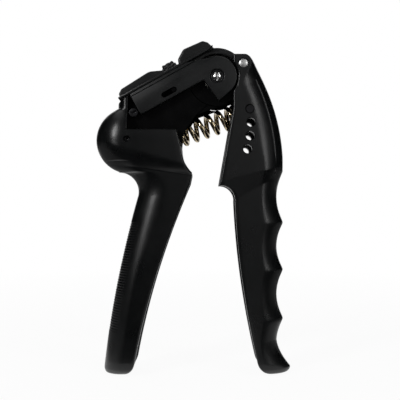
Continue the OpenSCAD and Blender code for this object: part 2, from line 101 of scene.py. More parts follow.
CHEEK_OUT = half_thickness("slide_body")
PLATE_OUT = half_thickness("finger_handle")
BULB_OUT = half_thickness("palm_handle")
CHANNEL = half_thickness("knuckle") + 0.4
GRIP_OUT = PLATE_OUT - 1.4
CHEEK_IN = CHANNEL + 0.3


def clamp(value, low=0.0, high=1.0):
    return max(low, min(high, value))


def ease(t):
    """Smooth step from 0 to 1."""
    t = clamp(t)
    return t * t * (3 - 2 * t)


def mix(a, b, t):
    return a + (b - a) * t


def chord(radius, offset):
    """Half width of a circle at a distance from its middle."""
    return math.sqrt(max(0.0, radius * radius - offset * offset))


def bowed(z, a, b, sag):
    """Line from a to b, bowed sideways by sag, at height z."""
    t = (z - a[1]) / (b[1] - a[1])
    return mix(a[0], b[0], t) + 4 * sag * t * (1 - t)


def quarter(t, radius):
    """Drop of a quarter round at t, from 0 where it starts to the radius where it ends."""
    return radius - chord(radius, clamp(t, 0, radius))


def spread(low, high, step):
    """Even values from low to high, about a step apart."""
    count = max(1, round((high - low) / step))
    return [mix(low, high, i / count) for i in range(count + 1)]


def arc(centre, radius, start, end, steps):
    """Points of an arc in a plane, with its angles in degrees."""
    angles = [math.radians(mix(start, end, i / steps)) for i in range(steps + 1)]
    return [(centre[0] + radius * math.cos(a), centre[1] + radius * math.sin(a)) for a in angles]


def rounded(corners):
    """Outline through corners of (x, y, radius), each with a radius turned into a curve."""
    points = []
    count = len(corners)
    for i, (x, y, radius) in enumerate(corners):
        if radius == 0:
            points.append((x, y))
            continue
        here = Vector((x, y))
        before = (Vector(corners[i - 1][:2]) - here).normalized()
        after = (Vector(corners[(i + 1) % count][:2]) - here).normalized()
        reach = radius / math.tan(before.angle(after) / 2)
        for k in range(CORNER_STEPS + 1):
            t = k / CORNER_STEPS
            near = here + before * reach * (1 - t) ** 2 + after * reach * t * t
            points.append((near.x, near.y))
    return points


# Mesh helpers


def everything(bm):
    return bm.verts[:] + bm.edges[:] + bm.faces[:]


def only_verts(geom):
    """Vertices among what a mesh operator hands back."""
    return [item for item in geom if isinstance(item, bmesh.types.BMVert)]


def new_object(bm, name):
    mesh = bpy.data.meshes.new(name)
    bm.to_mesh(mesh)
    bm.free()
    thing = bpy.data.objects.new(name, mesh)
    bpy.context.scene.collection.objects.link(thing)
    return thing


def merge(bm):
    bmesh.ops.remove_doubles(bm, verts=bm.verts, dist=MERGE)
    bmesh.ops.dissolve_degenerate(bm, edges=bm.edges, dist=MERGE)
    return bm


def close_up(bm):
    """Merges doubles, fills open ends and turns the faces outward."""
    merge(bm)
    bmesh.ops.holes_fill(bm, edges=[e for e in bm.edges if e.is_boundary], sides=0)
    bmesh.ops.recalc_face_normals(bm, faces=bm.faces)
    return bm


def loft(rings):
    """Closed skin over a stack of rings with as many points each: a grid bent onto them."""
    around = len(rings[0])
    along = len(rings) - 1
    bm = bmesh.new()
    bmesh.ops.create_grid(bm, x_segments=around, y_segments=along, size=0.5)
    for vert in bm.verts:
        i = round((vert.co.x + 0.5) * around) % around
        k = round((vert.co.y + 0.5) * along)
        vert.co = rings[k][i]
    return close_up(bm)


def lathe(profile, place):
    """Solid of revolution from (radius, height) points, about the Z axis of a placing matrix."""
    bm = bmesh.new()
    verts = [bm.verts.new((radius, 0, height)) for radius, height in profile]
    edges = [bm.edges.new(pair) for pair in zip(verts, verts[1:])]
    bmesh.ops.spin(
        bm, geom=verts + edges, cent=(0, 0, 0), axis=(0, 0, 1), angle=math.tau, steps=LATHE_STEPS,
        use_merge=True,
    )
    bmesh.ops.transform(bm, matrix=place, verts=bm.verts)
    return close_up(bm)


def prism(outline, low, high):
    """Outline of (x, z) points, extruded through Y from low to high."""
    bm = bmesh.new()
    face = bm.faces.new([bm.verts.new((x, low, z)) for x, z in outline])
    grown = bmesh.ops.extrude_face_region(bm, geom=[face])["geom"]
    bmesh.ops.translate(bm, vec=(0, high - low, 0), verts=only_verts(grown))
    bmesh.ops.recalc_face_normals(bm, faces=bm.faces)
    return bm


def sheet(points, reach):
    """Open sheet: a line of points carried along a vector."""
    bm = bmesh.new()
    verts = [bm.verts.new(point) for point in points]
    edges = [bm.edges.new(pair) for pair in zip(verts, verts[1:])]
    grown = bmesh.ops.extrude_edge_only(bm, edges=edges)["geom"]
    bmesh.ops.translate(bm, vec=reach, verts=only_verts(grown))
    return bm


def round_edges(bm, width, segments=3, wanted=None, least=30):
    """Rounds the edges that turn more than a least angle, or those of them that are wanted."""
    least = math.radians(least)
    edges = [e for e in bm.edges if len(e.link_faces) == 2 and e.calc_face_angle(0) > least]
    if wanted:
        edges = [e for e in edges if wanted(e)]
    bmesh.ops.bevel(
        bm, geom=edges, offset=width, offset_type="OFFSET", affect="EDGES", segments=segments,
        profile=0.5, material=-1, clamp_overlap=True,
    )
    return bm


def mirrored(bm):
    """Adds the mirror image through the middle plane."""
    copy = bmesh.ops.duplicate(bm, geom=everything(bm))["geom"]
    bmesh.ops.scale(bm, vec=(1, -1, 1), verts=only_verts(copy))
    bmesh.ops.recalc_face_normals(bm, faces=bm.faces)
    return bm


def joined(*parts):
    """One bmesh with the meshes of several."""
    whole = bmesh.new()
    for part in parts:
        mesh = bpy.data.meshes.new("part")
        part.to_mesh(mesh)
        part.free()
        whole.from_mesh(mesh)
        bpy.data.meshes.remove(mesh)
    return whole


def boolean(bm, others, operation):
    """Solid with others cut from it or added to it."""
    base = new_object(bm, "base")
    tools = [new_object(other, "tool") for other in others]
    for tool in tools:
        step = base.modifiers.new("step", "BOOLEAN")
        step.operation = operation
        step.solver = "EXACT"
        step.object = tool
    ready = base.evaluated_get(bpy.context.evaluated_depsgraph_get())
    result = bmesh.new()
    result.from_mesh(ready.data)
    for thing in [base] + tools:
        mesh = thing.data
        bpy.data.objects.remove(thing)
        bpy.data.meshes.remove(mesh)
    return merge(result)


def carve(bm, *cutters):
    return boolean(bm, cutters, "DIFFERENCE")


def fuse(bm, *others):
    return boolean(bm, others, "UNION")


def softened(node, width):
    """Copy of a construction node in millimetres, merged, with its sharp edges rounded."""
    bm = bmesh.new()
    bm.from_mesh(frame["nodes"][node].data)
    bmesh.ops.scale(bm, vec=(1 / MM,) * 3, verts=bm.verts)
    bmesh.ops.remove_doubles(bm, verts=bm.verts, dist=0.002)
    bmesh.ops.dissolve_limit(bm, angle_limit=math.radians(1), verts=bm.verts, edges=bm.edges)
    return round_edges(bm, width, 2)


def add_piece(bm, name, body, nodes, finish, crease=35):
    """Makes a piece in metres from a bmesh in millimetres, finished and riding on its body."""
    bmesh.ops.scale(bm, vec=(MM,) * 3, verts=bm.verts)
    piece = new_object(bm, name)
    piece.data.shade_smooth()
    piece.data.set_sharp_from_angle(angle=math.radians(crease))
    piece.data.materials.append(finish)
    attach(piece, body)
    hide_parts(*nodes)
    return piece


def add_softened(pieces, finish):
    """Makes pieces of (construction node, name, body, edge round), all in one finish."""
    for node, name, body, edge in pieces:
        add_piece(softened(node, edge), name, body, [node], finish)


def on_slide(bm):
    """Moves a mesh from the slide's own frame into the object's."""
    bmesh.ops.transform(bm, matrix=SLIDE, verts=bm.verts)
    return bm


def across_pin(point):
    """Placing matrix of a pin through the thickness, with its near end at negative heights."""
    return Matrix.Translation(point) @ Matrix.Rotation(math.radians(-90), 4, "X")


# Materials

# Values between which most of a noise lies.
NOISE_SPAN = (0.3, 0.7)


def filled(node, **values):
    """Node with its inputs set by name, with _ for a space."""
    for key, value in values.items():
        node.inputs[key.replace("_", " ")].default_value = value
    return node


class Finish:
    """A material's node tree, built on Object coordinates."""

    def __init__(self, name):
        self.material = bpy.data.materials.new(name)
        self.material.use_nodes = True
        self.tree = self.material.node_tree
        self.shader = self.tree.nodes["Principled BSDF"]
        self.place = self.add("ShaderNodeTexCoord").outputs["Object"]

    def add(self, kind, **settings):
        node = self.tree.nodes.new(kind)
        for key, value in settings.items():
            setattr(node, key, value)
        return node

    def link(self, source, target):
        self.tree.links.new(source, target)

    def set(self, **values):
        filled(self.shader, **values)

    def noise(self, scale, detail):
        """Noise with features of about 1 / scale metres."""
        noise = filled(self.add("ShaderNodeTexNoise"), Scale=scale, Detail=detail)
        self.link(self.place, noise.inputs["Vector"])
        return noise.outputs["Fac"]

    def tint(self, factor, dark, light):
        """Base colour from dark to light."""
        ramp = self.add("ShaderNodeValToRGB")
        for element, position, colour in zip(ramp.color_ramp.elements, NOISE_SPAN, (dark, light)):
            element.position = position
            element.color = (*colour, 1)
        self.link(factor, ramp.inputs["Fac"])
        self.link(ramp.outputs["Color"], self.shader.inputs["Base Color"])

    def gloss(self, factor, low, high):
        """Roughness from low to high."""
        span = self.add("ShaderNodeMapRange")
        filled(span, From_Min=NOISE_SPAN[0], From_Max=NOISE_SPAN[1], To_Min=low, To_Max=high)
        self.link(factor, span.inputs["Value"])
        self.link(span.outputs["Result"], self.shader.inputs["Roughness"])

    def relief(self, factor, height, strength):
        bump = filled(self.add("ShaderNodeBump"), Distance=height, Strength=strength)
        self.link(factor, bump.inputs["Height"])
        self.link(bump.outputs["Normal"], self.shader.inputs["Normal"])


def shade(colour, share):
    return tuple(channel * share for channel in colour)


def surface(name, tint, gloss, relief, **settings):
    """Material with uneven colour, gloss and relief, made once for each name.

    tint, gloss and relief each hold the scale and detail of a noise and the two values it sets.
    """
    made = bpy.data.materials.get(name)
    if made:
        return made
    finish = Finish(name)
    for use, values in ((finish.tint, tint), (finish.gloss, gloss), (finish.relief, relief)):
        scale, detail, first, second = values
        use(finish.noise(scale, detail), first, second)
    finish.set(**settings)
    return finish.material


def moulded_plastic(name, colour, roughness, grain, specular=0.3):
    """Black moulding: a faint bloom in the colour, uneven satin gloss and a fine moulded grain."""
    return surface(
        name,
        tint=(140, 4, shade(colour, 0.8), shade(colour, 1.25)),
        gloss=(90, 5, roughness - 0.04, roughness + 0.05),
        relief=(2600, 2, 0.00004, grain),
        IOR=1.5,
        Specular_IOR_Level=specular,
    )


def drawn_metal(name, colour, roughness):
    """Metal with fine drawing marks and small changes of gloss."""
    return surface(
        name,
        tint=(420, 3, shade(colour, 0.88), colour),
        gloss=(1500, 3, roughness * 0.7, roughness * 1.3),
        relief=(3000, 2, 0.00001, 0.25),
        Metallic=1.0,
    )


def colour_property(name, description, default):
    return FloatVectorProperty(name=name, description=description, subtype="COLOR", size=3, default=default)


def length_property(name, description, default, precision=4):
    return FloatProperty(
        name=name, description=description, default=default, unit="LENGTH", precision=precision
    )


def power_property(name, description, default):
    return FloatProperty(name=name, description=description, default=default, unit="POWER")


class GripFinishes(bpy.types.PropertyGroup):
    """Colours of the grip's finishes."""

    handle_colour: colour_property("Handles", "Black of the two handles", (0.0018, 0.0021, 0.0023))
    slide_colour: colour_property("Slide", "Black of the slide and its cover", (0.0040, 0.0044, 0.0047))
    inner_colour: colour_property(
        "Inner pieces", "Black of the arm, knuckle, wheel and spring seats", (0.0027, 0.0027, 0.0028)
    )
    steel_colour: colour_property("Pins", "Bright steel of the pins", (0.78, 0.78, 0.77))
    dark_steel_colour: colour_property(
        "Screws", "Blackened steel of the screws and the set pin", (0.028, 0.028, 0.030)
    )
    spring_colour: colour_property("Spring", "Plated wire of the spring", (0.46, 0.38, 0.25))
    bronze_colour: colour_property("Bush", "Bronze of the pivot bush", (0.55, 0.38, 0.17))
    bearing_colour: colour_property(
        "Bearing washers", "Natural plastic of the knuckle washers", (0.62, 0.6, 0.54)
    )
    handle_roughness: FloatProperty(
        name="Handle roughness", description="How satin the handles are", default=0.3, min=0.05, max=0.9
    )

    def handle(self):
        return moulded_plastic("handle_black", self.handle_colour, self.handle_roughness, 0.12)

    def slide(self):
        return moulded_plastic("slide_black", self.slide_colour, self.handle_roughness + 0.06, 0.15)

    def inner(self):
        return moulded_plastic("inner_black", self.inner_colour, 0.5, 0.25, 0.0)

    def wheel(self):
        return moulded_plastic("wheel_black", self.inner_colour, 0.42, 0.2, 0.2)

    def bearing(self):
        return moulded_plastic("bearing_plastic", self.bearing_colour, 0.45, 0.1)

    def steel(self):
        return drawn_metal("polished_steel", self.steel_colour, 0.2)

    def satin_steel(self):
        return drawn_metal("satin_steel", shade(self.steel_colour, 0.8), 0.45)

    def dark_steel(self):
        return drawn_metal("blackened_steel", self.dark_steel_colour, 0.38)

    def spring(self):
        return drawn_metal("plated_wire", self.spring_colour, 0.14)

    def bronze(self):
        return drawn_metal("sintered_bronze", self.bronze_colour, 0.35)


class GripSizes(bpy.types.PropertyGroup):
    """Sizes of the details that the construction leaves plain."""

    wall: length_property("Wall", "Wall of the two handles", 0.0034)
    rib_pitch: length_property("Grip rib pitch", "Step of the fine ribs on the palm handle's back", 0.0012)
    rib_height: length_property("Grip rib height", "Height of those ribs", 0.00022, 5)
    wire: length_property("Spring wire", "Diameter of the spring's wire", 0.0023)
    coil: length_property("Spring coil", "Mean diameter of the spring", 0.0092)
    pitch: length_property("Spring pitch", "Step of the spring's open turns", 0.00524, 5)
    knurls: IntProperty(
        name="Wheel knurls", description="Knurls round the thumbwheel", default=18, min=8, max=40
    )
    thread: length_property("Thread", "Lead of the adjusting screw", 0.002)


# Sections of the two handles

LIP_ROUND = 1.0
MOUTH_ROUND = 0.5
FLOOR_ROUND = 1.2
RIB_TOP = 3.0
RIB_HALF = 1.1
POCKET_LOW = 3.4
HOLE_CHAMFER = 0.3
TIP_SHARE = 0.35
LEVEL_STEP = 0.3
TIP_LEVELS = [0, 0.1, 0.25, 0.45, 0.7]
ROUND_SHARES = (0.7, 0.4, 0.2, 0.08, 0)


def pocket_end(t, full):
    """Depth of a pocket at a distance t from its end wall, with both its corners rounded."""
    if t <= 0:
        return 0.0
    if t <= MOUTH_ROUND:
        return min(full, quarter(t, MOUTH_ROUND))
    return full - quarter(max(0, FLOOR_ROUND + MOUTH_ROUND - t), FLOOR_ROUND)


def pocket_depth(z, full, ribs):
    """Depth of a handle's channel at height z: closed at the tip, with ribs across it."""
    depth = pocket_end(z - POCKET_LOW, full)
    for rib in ribs:
        depth = min(depth, RIB_TOP + pocket_end(abs(z - rib) - RIB_HALF, full - RIB_TOP))
    return depth


def channel_ring(z, lip, back, side, channel, pocket, rounding, power, ridge=None):
    """Section of a handle at height z: an open channel at the lip and a rounded back.

    side gives the half thickness at x, power how crisply the flat side turns into the back.
    """
    width = abs(back - lip)
    turn = 1 if back > lip else -1
    flat = width - rounding
    edge = min(LIP_ROUND, 0.3 * flat)
    mouth = min(MOUTH_ROUND, pocket / 2)
    floor = min(FLOOR_ROUND, pocket / 2)
    half = side(lip + turn * edge, z)
    channel = min(channel, half - edge - mouth - 0.6)

    path = [(pocket, (channel - floor) * i / 3) for i in range(3)]
    path += arc((pocket - floor, channel - floor), floor, 0, 90, 3)
    path += [(mix(pocket - floor, mouth, i / 6), channel) for i in range(1, 6)]
    path += arc((mouth, channel + mouth), mouth, 270, 180, 3)
    path.append((0, (channel + mouth + half - edge) / 2))
    path += arc((edge, half - edge), edge, 180, 90, 4)
    for i in range(1, 11):
        depth = mix(edge, flat, i / 11)
        path.append((depth, side(lip + turn * depth, z)))
    for i in range(21):
        angle = math.radians(90 - 90 * i / 20)
        depth = flat + rounding * math.cos(angle) ** power if i else flat
        y = side(lip + turn * depth, z) * math.sin(angle)
        if ridge:
            depth += ridge(math.degrees(angle), z)
        path.append((depth, y if i < 20 else 0))
    loop = path + [(depth, -y) for depth, y in reversed(path[1:-1])]
    return [Vector((lip + turn * depth, y, z)) for depth, y in loop]


def handle_ribs(low, high):
    return [mix(low, high, i / 4) for i in (1, 2, 3)]


# Palm handle

NECK_Z = PIVOT.z - 55.5
BULB = PIVOT + Vector((-41.8, 0, -29))
BULB_R = 15.56
BULB_CROWN_R = 19
COLLAR_REACH = 5.0
PALM_BACK = ((PIVOT.x - 37.6, NECK_Z), (PIVOT.x - 53.6, 3))
PALM_BACK_BOW = -1.8
PALM_LIP = ((PIVOT.x - 12.4, NECK_Z + 5.8), (PIVOT.x - 38.5, 5.3))
PALM_LIP_BOW = -2.65
PALM_TIP_ROUND = 9.4
PALM_NECK_ROUND = 14.4
SWELL_LENGTH = 46
GRUB = BULB + Vector((0.4, 0, -0.2))
GRUB_R = 1.45
COLLAR_HALF = CHEEK_OUT - 1.3
PALM_NECK = (PIVOT.x - 46.5, NECK_Z + 2.2)
PALM_NECK_R = 9.2
MOUTH = (PIVOT.x + 0.3, PIVOT.z - 32.5)
MOUTH_R = 16.9
PALM_STOP = (PIVOT.x - 11.6, PIVOT.z - 45.9)
SHELF = (PIVOT.x - 41.4, PIVOT.z - 24.6)
SHELF_ROUND = 0.6
PALM_TOP = BULB.z + 21.5
CREASE = ((PIVOT.x - 50, PIVOT.z - 40.4), (PIVOT.x - 11.7, PIVOT.z - 45.7))
EQUATOR = ((PIVOT.x - 53.7, PIVOT.z - 29.6), (PIVOT.x - 15.3, PIVOT.z - 40.6))
RIBBED = (20.0, 73.0)
WAIST = (BULB.z - 16.5, BULB.z - 13)
WAIST_STEP = 0.08
COLLAR_Z = BULB.z + 14.5


def tip_round(z, radius):
    """Share of the full size near a handle's tip: under 1 within the tip's round."""
    return 1.0 if z >= radius else chord(radius, radius - z) / radius


def line_at(x, line):
    """Height at x of a line through two points."""
    (x0, z0), (x1, z1) = line
    return z0 + (z1 - z0) * (x - x0) / (x1 - x0)


def palm_left(z):
    """Outer edge of the palm handle."""
    if z < NECK_Z:
        line = bowed(max(z, PALM_BACK[1][1]), *PALM_BACK, PALM_BACK_BOW)
        return line + 1.6 * (1 - tip_round(z, 3))
    if z < BULB.z - chord(BULB_R, 4.4):
        return PALM_NECK[0] + chord(PALM_NECK_R, z - PALM_NECK[1])
    return BULB.x - max(COLLAR_REACH, chord(BULB_R, z - BULB.z))


def palm_right(z):
    """Inner edge of the palm handle."""
    if z < PALM_LIP[0][1]:
        line = bowed(z, *PALM_LIP, PALM_LIP_BOW)
        return line - 5.2 * (1 - tip_round(z, 6))
    if z < PALM_STOP[1]:
        return PALM_STOP[0] - 0.8 * (PALM_STOP[1] - z) / 3.8
    if z < MOUTH[1]:
        return min(PALM_STOP[0], MOUTH[0] - chord(MOUTH_R, z - MOUTH[1]))
    return MOUTH[0] - MOUTH_R - 0.25 * (z - MOUTH[1])


def palm_side(x, z):
    """Half thickness of the palm handle: flat below, swelling into the bulb above a slanted crease."""
    crease = line_at(x, CREASE)
    equator = line_at(x, EQUATOR)
    t = clamp((z - crease) / (equator - crease))
    side = PLATE_OUT + (BULB_OUT - PLATE_OUT) * (1 - (1 - t) ** 1.7)
    if z > BULB.z:
        side = max(COLLAR_HALF, side * chord(BULB_CROWN_R, z - BULB.z) / BULB_CROWN_R)
    if x > SHELF[0] and z > SHELF[1] - SHELF_ROUND:
        side -= quarter(z - SHELF[1] + SHELF_ROUND, SHELF_ROUND)
    return side * mix(TIP_SHARE, 1, tip_round(z, 7))


def palm_ridge(pitch, height):
    """Fine ribs across the back of the palm handle, fading out at both ends."""

    def ridge(angle, z):
        band = ease((58 - angle) / 12)
        ends = ease((z - RIBBED[0]) / 2) * ease((RIBBED[1] - z) / 2)
        return height * band * ends * (0.5 * math.cos(math.tau * z / pitch) - 0.5)

    return ridge


def palm_levels(pitch):
    """Heights of the palm handle's sections up to the shelf, closer at the ribs and the waist."""
    levels = TIP_LEVELS + spread(1, RIBBED[0], LEVEL_STEP)
    levels += spread(RIBBED[0], RIBBED[1], pitch / 5)[1:]
    levels += spread(RIBBED[1], WAIST[0], LEVEL_STEP)[1:]
    levels += spread(*WAIST, WAIST_STEP)[1:]
    levels += spread(WAIST[1], SHELF[1] - SHELF_ROUND, LEVEL_STEP)[1:]
    levels += [SHELF[1] - SHELF_ROUND * share for share in ROUND_SHARES]
    return levels


def palm_ring(z, wall, ridge, above_shelf=False):
    """Section of the palm handle at height z, cut back to the shelf's corner above it."""
    left = palm_left(z)
    lip = SHELF[0] if above_shelf else palm_right(z)
    swell = ease((z - NECK_Z + SWELL_LENGTH) / SWELL_LENGTH)
    rounding = min(mix(PALM_TIP_ROUND, PALM_NECK_ROUND, swell), 0.72 * (palm_right(z) - left))
    if z > BULB.z - 10:
        rounding = min(rounding, 0.9 * (SHELF[0] - left))
    pocket = pocket_depth(z, lip - left - wall, handle_ribs(6, NECK_Z))
    return channel_ring(z, lip, left, palm_side, CHANNEL, pocket, rounding, mix(1.3, 1.0, swell), ridge)


class GRIP_OT_palm_handle(bpy.types.Operator):
    """Palm handle: a lofted channel with a ribbed back, the bulb and the shelf under the slide"""

    bl_idname = "grip.palm_handle"
    bl_label = "Palm handle"

    def execute(self, context):
        sizes = context.scene.grip_sizes
        wall, pitch = sizes.wall / MM, sizes.rib_pitch / MM
        ridge = palm_ridge(pitch, sizes.rib_height / MM)
        rings = [palm_ring(z, wall, ridge) for z in palm_levels(pitch)]
        upper = spread(SHELF[1], COLLAR_Z, LEVEL_STEP) + spread(COLLAR_Z + LEVEL_STEP, PALM_TOP, 1)
        rings += [palm_ring(z, wall, ridge, True) for z in upper]
        bm = loft(rings)

        cover_line = SLIDE @ Vector((0, 0, BAND_TOP - 0.4))
        slide_up = SLIDE.to_3x3() @ Vector((0, 0, 1))
        bmesh.ops.bisect_plane(
            bm, geom=everything(bm), plane_co=cover_line, plane_no=slide_up, clear_outer=True
        )
        close_up(bm)
        bm = carve(bm, through_hole(GRUB, GRUB_R, BULB_OUT, HOLE_CHAMFER))
        finish = context.scene.grip_finishes.handle()
        add_piece(bm, "palm_handle_moulding", "palm", ["palm_handle"], finish)
        return {"FINISHED"}


def through_hole(point, radius, face, chamfer):
    """Cutter for a hole through both sides, with a chamfer at each outer face."""
    reach = 1.5
    profile = [
        (0, -face - reach), (radius + chamfer + reach, -face - reach), (radius, -face + chamfer),
        (radius, face - chamfer), (radius + chamfer + reach, face + reach), (0, face + reach),
    ]
    return lathe(profile, across_pin(point))


# Finger handle

BACK = (PIVOT.x - 63.1, PIVOT.z - 42.1)
BACK_R = 95.0
CREST = BACK[0] + BACK_R
EAR_TOP = PIVOT.z + 10.5
EAR_ROUND = 1.4
EAR_EDGE = 0.7
GROOVE_CRESTS = [BACK[1] - drop for drop in (1.2, 25.8, 48.2, 71.5, 94.7)]
GROOVE_DEPTH = 3.35
CREST_ROUND = 0.12
TAIL_TOP = 16.0
TAIL_FLARE = 6.5
FINGER_STOP = (PIVOT.x + 1.3, PIVOT.z - 49.3)
UNDER_STOP = (PIVOT.x + 1.5, NECK_Z - 2)
UNDER_STOP_R = 7.0
FINGER_LIP = ((PIVOT.x + 8.4, NECK_Z - 2), (PIVOT.x + 18.3, 9.1))
FINGER_LIP_BOW = -1.65
GRIP_ROUND = 10.2
UPPER_ROUND = 11.8
EAR_BACK_ROUND = 2.0
EAR_GAP_R = 9.9
LEDGE_LOW = ((PIVOT.x + 9.4, NECK_Z - 0.5), (PIVOT.x + 21.5, NECK_Z + 5.9))
LEDGE_HIGH = ((PIVOT.x + 3.5, NECK_Z + 7.1), (PIVOT.x + 21.9, NECK_Z + 11.9))
KNUCKLE_PIN = PIVOT + Vector((12.2, 0, 6.3))
HOLE_ARC = PIVOT + Vector((-31, 0, -21.5))
HOLE_ARC_R = 46.75
SET_HOLE_R = 2.02
KNUCKLE_HOLE_R = 2.21


def set_hole(k):
    """Place of set-pin hole k, counted from the top."""
    angle = math.radians(8 - 7.65 * (k - 1))
    return HOLE_ARC + HOLE_ARC_R * Vector((math.cos(angle), 0, math.sin(angle)))


def finger_left(z):
    """Inner edge of the finger handle, drawn in round the cheek of the slide."""
    if z < UNDER_STOP[1]:
        line = bowed(z, *FINGER_LIP, FINGER_LIP_BOW)
        return line + 6.4 * (1 - tip_round(z, 6))
    if z < UNDER_STOP[1] + UNDER_STOP_R:
        return UNDER_STOP[0] + chord(UNDER_STOP_R, z - UNDER_STOP[1])
    edge = FINGER_STOP[0] + min(6.1, (z - FINGER_STOP[1]) * 0.176)
    if abs(z - PIVOT.z) < EAR_GAP_R:
        edge = max(edge, PIVOT.x + chord(EAR_GAP_R, z - PIVOT.z))
    return edge


def groove_edge(z):
    """Edge of the finger grooves at height z: hollows between rounded crests."""
    upper = min(crest for crest in GROOVE_CRESTS if crest >= z)
    lower = max(crest for crest in GROOVE_CRESTS if crest < z)
    t = 2 * (upper - z) / (upper - lower) - 1
    return CREST + 0.25 - GROOVE_DEPTH * math.hypot(1 - t * t, CREST_ROUND)


def finger_right(z):
    """Outer edge of the finger handle: a plain arc above, four finger grooves, a flared tail at the tip."""
    top = GROOVE_CRESTS[0]
    if z > top:
        meeting = (CREST - groove_edge(top)) * ease((top + 8 - z) / 8)
        return BACK[0] + chord(BACK_R, BACK[1] - z) - meeting - quarter(z - EAR_TOP + EAR_ROUND, EAR_ROUND)
    if z > TAIL_TOP:
        return groove_edge(z)
    swing = (TAIL_TOP - max(z, 3)) / (TAIL_TOP - 3)
    return groove_edge(TAIL_TOP) + TAIL_FLARE * swing ** 1.7 - 3.6 * (1 - tip_round(z, 3))


def finger_side(x, z):
    """Half thickness of the finger handle, stepping out above a slanted ledge."""
    t = clamp((z - line_at(x, LEDGE_LOW)) / (line_at(x, LEDGE_HIGH) - line_at(x, LEDGE_LOW)))
    side = mix(GRIP_OUT, PLATE_OUT, t)
    side -= quarter(z - EAR_TOP + EAR_EDGE, EAR_EDGE)
    return side * mix(TIP_SHARE, 1, tip_round(z, 6))


def finger_ring(z, wall):
    """Section of the finger handle at height z."""
    left, right = finger_left(z), finger_right(z)
    pocket = pocket_depth(z, right - left - wall, handle_ribs(6, NECK_Z))
    channel = mix(GRIP_OUT - wall + 0.2, CHANNEL, ease((z - FINGER_STOP[1] - 3) / 1.5))
    grip_round = GRIP_ROUND - 0.6 * (CREST - right)
    back_round = mix(grip_round, UPPER_ROUND, ease((z - GROOVE_CRESTS[0]) / 14))
    back_round = mix(back_round, EAR_BACK_ROUND, ease((z - PIVOT.z + 3.5) / 12))
    rounding = min(back_round, 0.9 * (right - left))
    return channel_ring(z, left, right, finger_side, channel, pocket, rounding, 1.5)


class GRIP_OT_finger_handle(bpy.types.Operator):
    """Finger handle: a lofted channel with four finger grooves, the ledge, the ear and the set-pin holes"""

    bl_idname = "grip.finger_handle"
    bl_label = "Finger handle"

    def execute(self, context):
        wall = context.scene.grip_sizes.wall / MM
        shelf = UNDER_STOP[1] + UNDER_STOP_R
        levels = TIP_LEVELS + spread(1, shelf - 1, LEVEL_STEP)
        levels += [shelf - d for d in (0.75, 0.5, 0.3, 0.15, 0.06, 0.01)]
        levels += spread(shelf, EAR_TOP - EAR_EDGE, LEVEL_STEP)
        levels += [EAR_TOP - EAR_EDGE * share for share in ROUND_SHARES]
        bm = loft([finger_ring(z, wall) for z in levels])
        holes = [through_hole(set_hole(k), SET_HOLE_R, PLATE_OUT, HOLE_CHAMFER) for k in (1, 2, 3, 4)]
        bm = carve(bm, through_hole(KNUCKLE_PIN, KNUCKLE_HOLE_R, PLATE_OUT, 0.25), *holes)
        finish = context.scene.grip_finishes.handle()
        add_piece(bm, "finger_handle_moulding", "finger", ["finger_handle"], finish)
        return {"FINISHED"}


# Slide, in u along it, y and v square to it, from the main pivot

CHEEK_R = 9.2
CHEEK_EDGE = -6.2
CHEEK_FOOT = (-4.8, -10.4)
BAND_START = -39.5
BAND_LOW = 1.5
BAND_TOP = 12.5
BAND_BREAK = 8.0
BAND_LEAN = 0.13
BAND_GROOVE = 11.0
GUIDE = (-20.4, 4.2)
SLOT_R = 1.3
SLOT_LENGTH = 5.2
WHEEL_U = -16.8
WHEEL_GAP = 3.7
SCREW_V = 12.6
SCREW_LINE = Matrix.Translation((0, 0, SCREW_V)) @ Matrix.Rotation(math.radians(90), 4, "Y")
ARCH_IN = 11.2
ARCH_OUT = 14.0


def slide_box(low_u, high_u, half, low_v, high_v):
    return prism([(low_u, low_v), (high_u, low_v), (high_u, high_v), (low_u, high_v)], -half, half)


def cheek_outline():
    """Long band, its end at the cheek and the round cheek itself."""
    band = [
        (*CHEEK_FOOT, 0.8), (CHEEK_EDGE, BAND_LOW, 0.8), (BAND_START, BAND_LOW, 1.2),
        (BAND_START, BAND_TOP, 0.6), (-9.0, BAND_TOP, 1.5),
    ]
    disc = [(x, v, 0) for x, v in arc((0, 0), CHEEK_R, 77, -78, 56)]
    return rounded(band + disc)


def slide_cheek():
    """One cheek with its rim rounded, its upper half leaning in and a fine groove along it."""
    bm = prism(cheek_outline(), CHEEK_IN, CHEEK_OUT)
    round_edges(bm, 0.5, 3, lambda e: all(v.co.y > CHEEK_OUT - 0.01 for v in e.verts), 20)
    groove = (BAND_GROOVE - 0.22, BAND_GROOVE, BAND_GROOVE + 0.22)
    for height in (BAND_BREAK, *groove):
        bmesh.ops.bisect_plane(bm, geom=everything(bm), plane_co=(0, 0, height), plane_no=(0, 0, 1))
    for vert in bm.verts:
        if vert.co.y > CHEEK_IN + 0.5:
            vert.co.y -= BAND_LEAN * max(0, vert.co.z - BAND_BREAK)
            if abs(vert.co.z - BAND_GROOVE) < 0.01:
                vert.co.y -= 0.3
    return bm


def guide_slot():
    """Cutter for the slot in both cheeks."""
    left = (GUIDE[0] - SLOT_LENGTH, GUIDE[1])
    outline = arc(GUIDE, SLOT_R, -90, 90, 12) + arc(left, SLOT_R, 90, 270, 12)
    return prism(outline, -20, 20)


def pivot_bore():
    """Cutter for the pivot's bore, with a counterbore for the retainer at each side."""
    deep = CHEEK_OUT - 1.5
    profile = [
        (0, -20), (4.6, -20), (4.6, -CHEEK_OUT - 1), (3.3, -CHEEK_OUT + 0.3), (3.3, -deep), (2.51, -deep),
        (2.51, deep), (3.3, deep), (3.3, CHEEK_OUT - 0.3), (4.6, CHEEK_OUT + 1), (4.6, 20), (0, 20),
    ]
    return lathe(profile, across_pin(Vector((0, 0, 0))))


